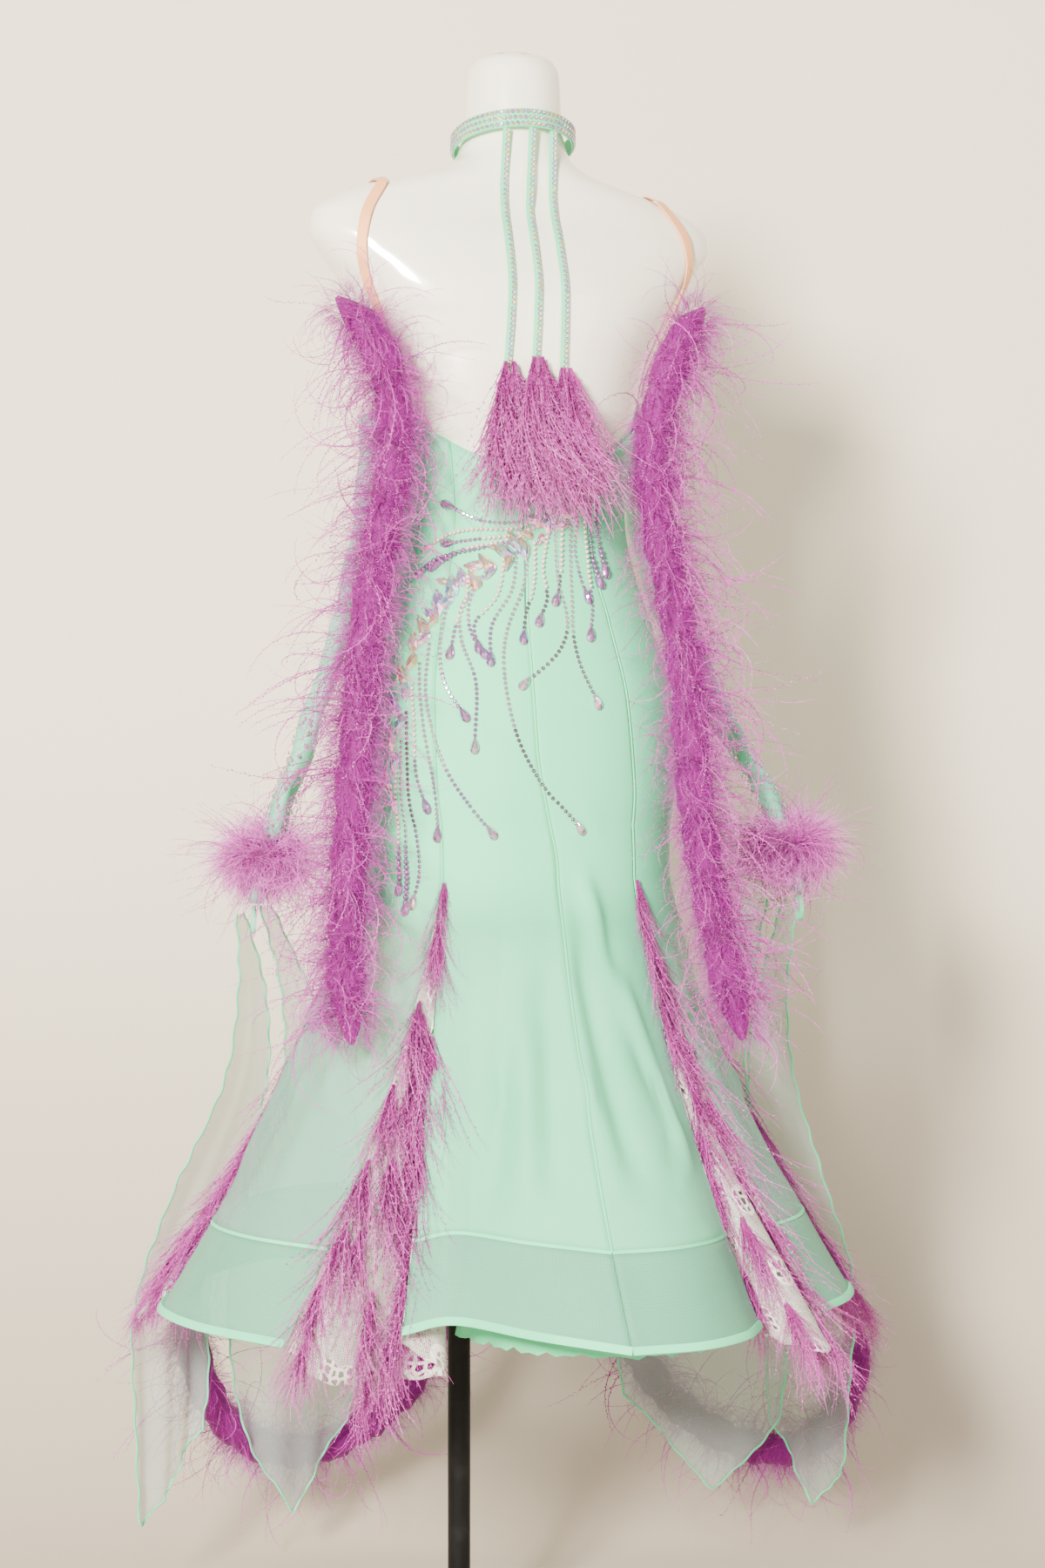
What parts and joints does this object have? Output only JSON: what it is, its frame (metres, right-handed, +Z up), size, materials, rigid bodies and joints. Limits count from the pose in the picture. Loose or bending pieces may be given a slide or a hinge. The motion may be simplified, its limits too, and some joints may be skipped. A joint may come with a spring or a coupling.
{
  "type": "ballroom dance dress on dress form stand",
  "caption": "Backless mermaid ballroom dance dress with lace godets, feather boas, sheer floats and a stiff hem band, on a limbless dress form with a pole and round base.",
  "frame": {"origin": "on the floor, at the middle of the underside of the stand's round base", "axes": "+Z up, +Y the way the wearer faces, so the back of the dress faces -Y and the wearer's left is -X"},
  "size_m": [0.8791, 0.7951, 1.702],
  "materials": {
    "form_gloss": "glossy cream lacquer",
    "black_paint": "black semi-gloss paint",
    "mint_cloth": "mint stretch cloth with a low sheen",
    "mint_organza": "stiff sheer mint crinoline under organza",
    "nude_elastic": "satin-faced nude elastic",
    "lace": "off-white floral net lace",
    "feather": "dyed magenta marabou and ostrich feather",
    "chiffon": "sheer grey-mint chiffon with a rolled edge"
  },
  "bodies": {
    "root": {"back_strap_left": "mint_cloth", "back_strap_middle": "mint_cloth", "back_strap_right": "mint_cloth", "boa_left": "feather", "boa_right": "feather", "collar": "mint_cloth", "cuff_left": "feather", "cuff_right": "feather", "finger_loop_left": "mint_cloth", "finger_loop_right": "mint_cloth", "float_left_inner": "chiffon", "float_left_outer": "chiffon", "float_right_inner": "chiffon", "float_right_outer": "chiffon", "form_torso": "form_gloss", "garland_left": "feather", "garland_right": "feather", "godet_front_left": "lace", "godet_front_left_feathers": "feather", "godet_front_right": "lace", "godet_front_right_feathers": "feather", "godet_rear_left": "lace", "godet_rear_left_feathers": "feather", "godet_rear_right": "lace", "godet_rear_right_feathers": "feather", "hem_band_back_left": "mint_organza", "hem_band_back_right": "mint_organza", "hem_band_front": "mint_organza", "hem_band_side_left": "mint_organza", "hem_band_side_right": "mint_organza", "panel_back_left": "mint_cloth", "panel_back_right": "mint_cloth", "panel_front": "mint_cloth", "panel_side_left": "mint_cloth", "panel_side_right": "mint_cloth", "shoulder_strap_left": "nude_elastic", "shoulder_strap_right": "nude_elastic", "sleeve_left": "mint_cloth", "sleeve_right": "mint_cloth", "stand_base": "black_paint", "stand_pole": "black_paint", "tassel_left": "feather", "tassel_middle": "feather", "tassel_right": "feather", "underskirt": "mint_cloth"}
  },
  "joints": []
}
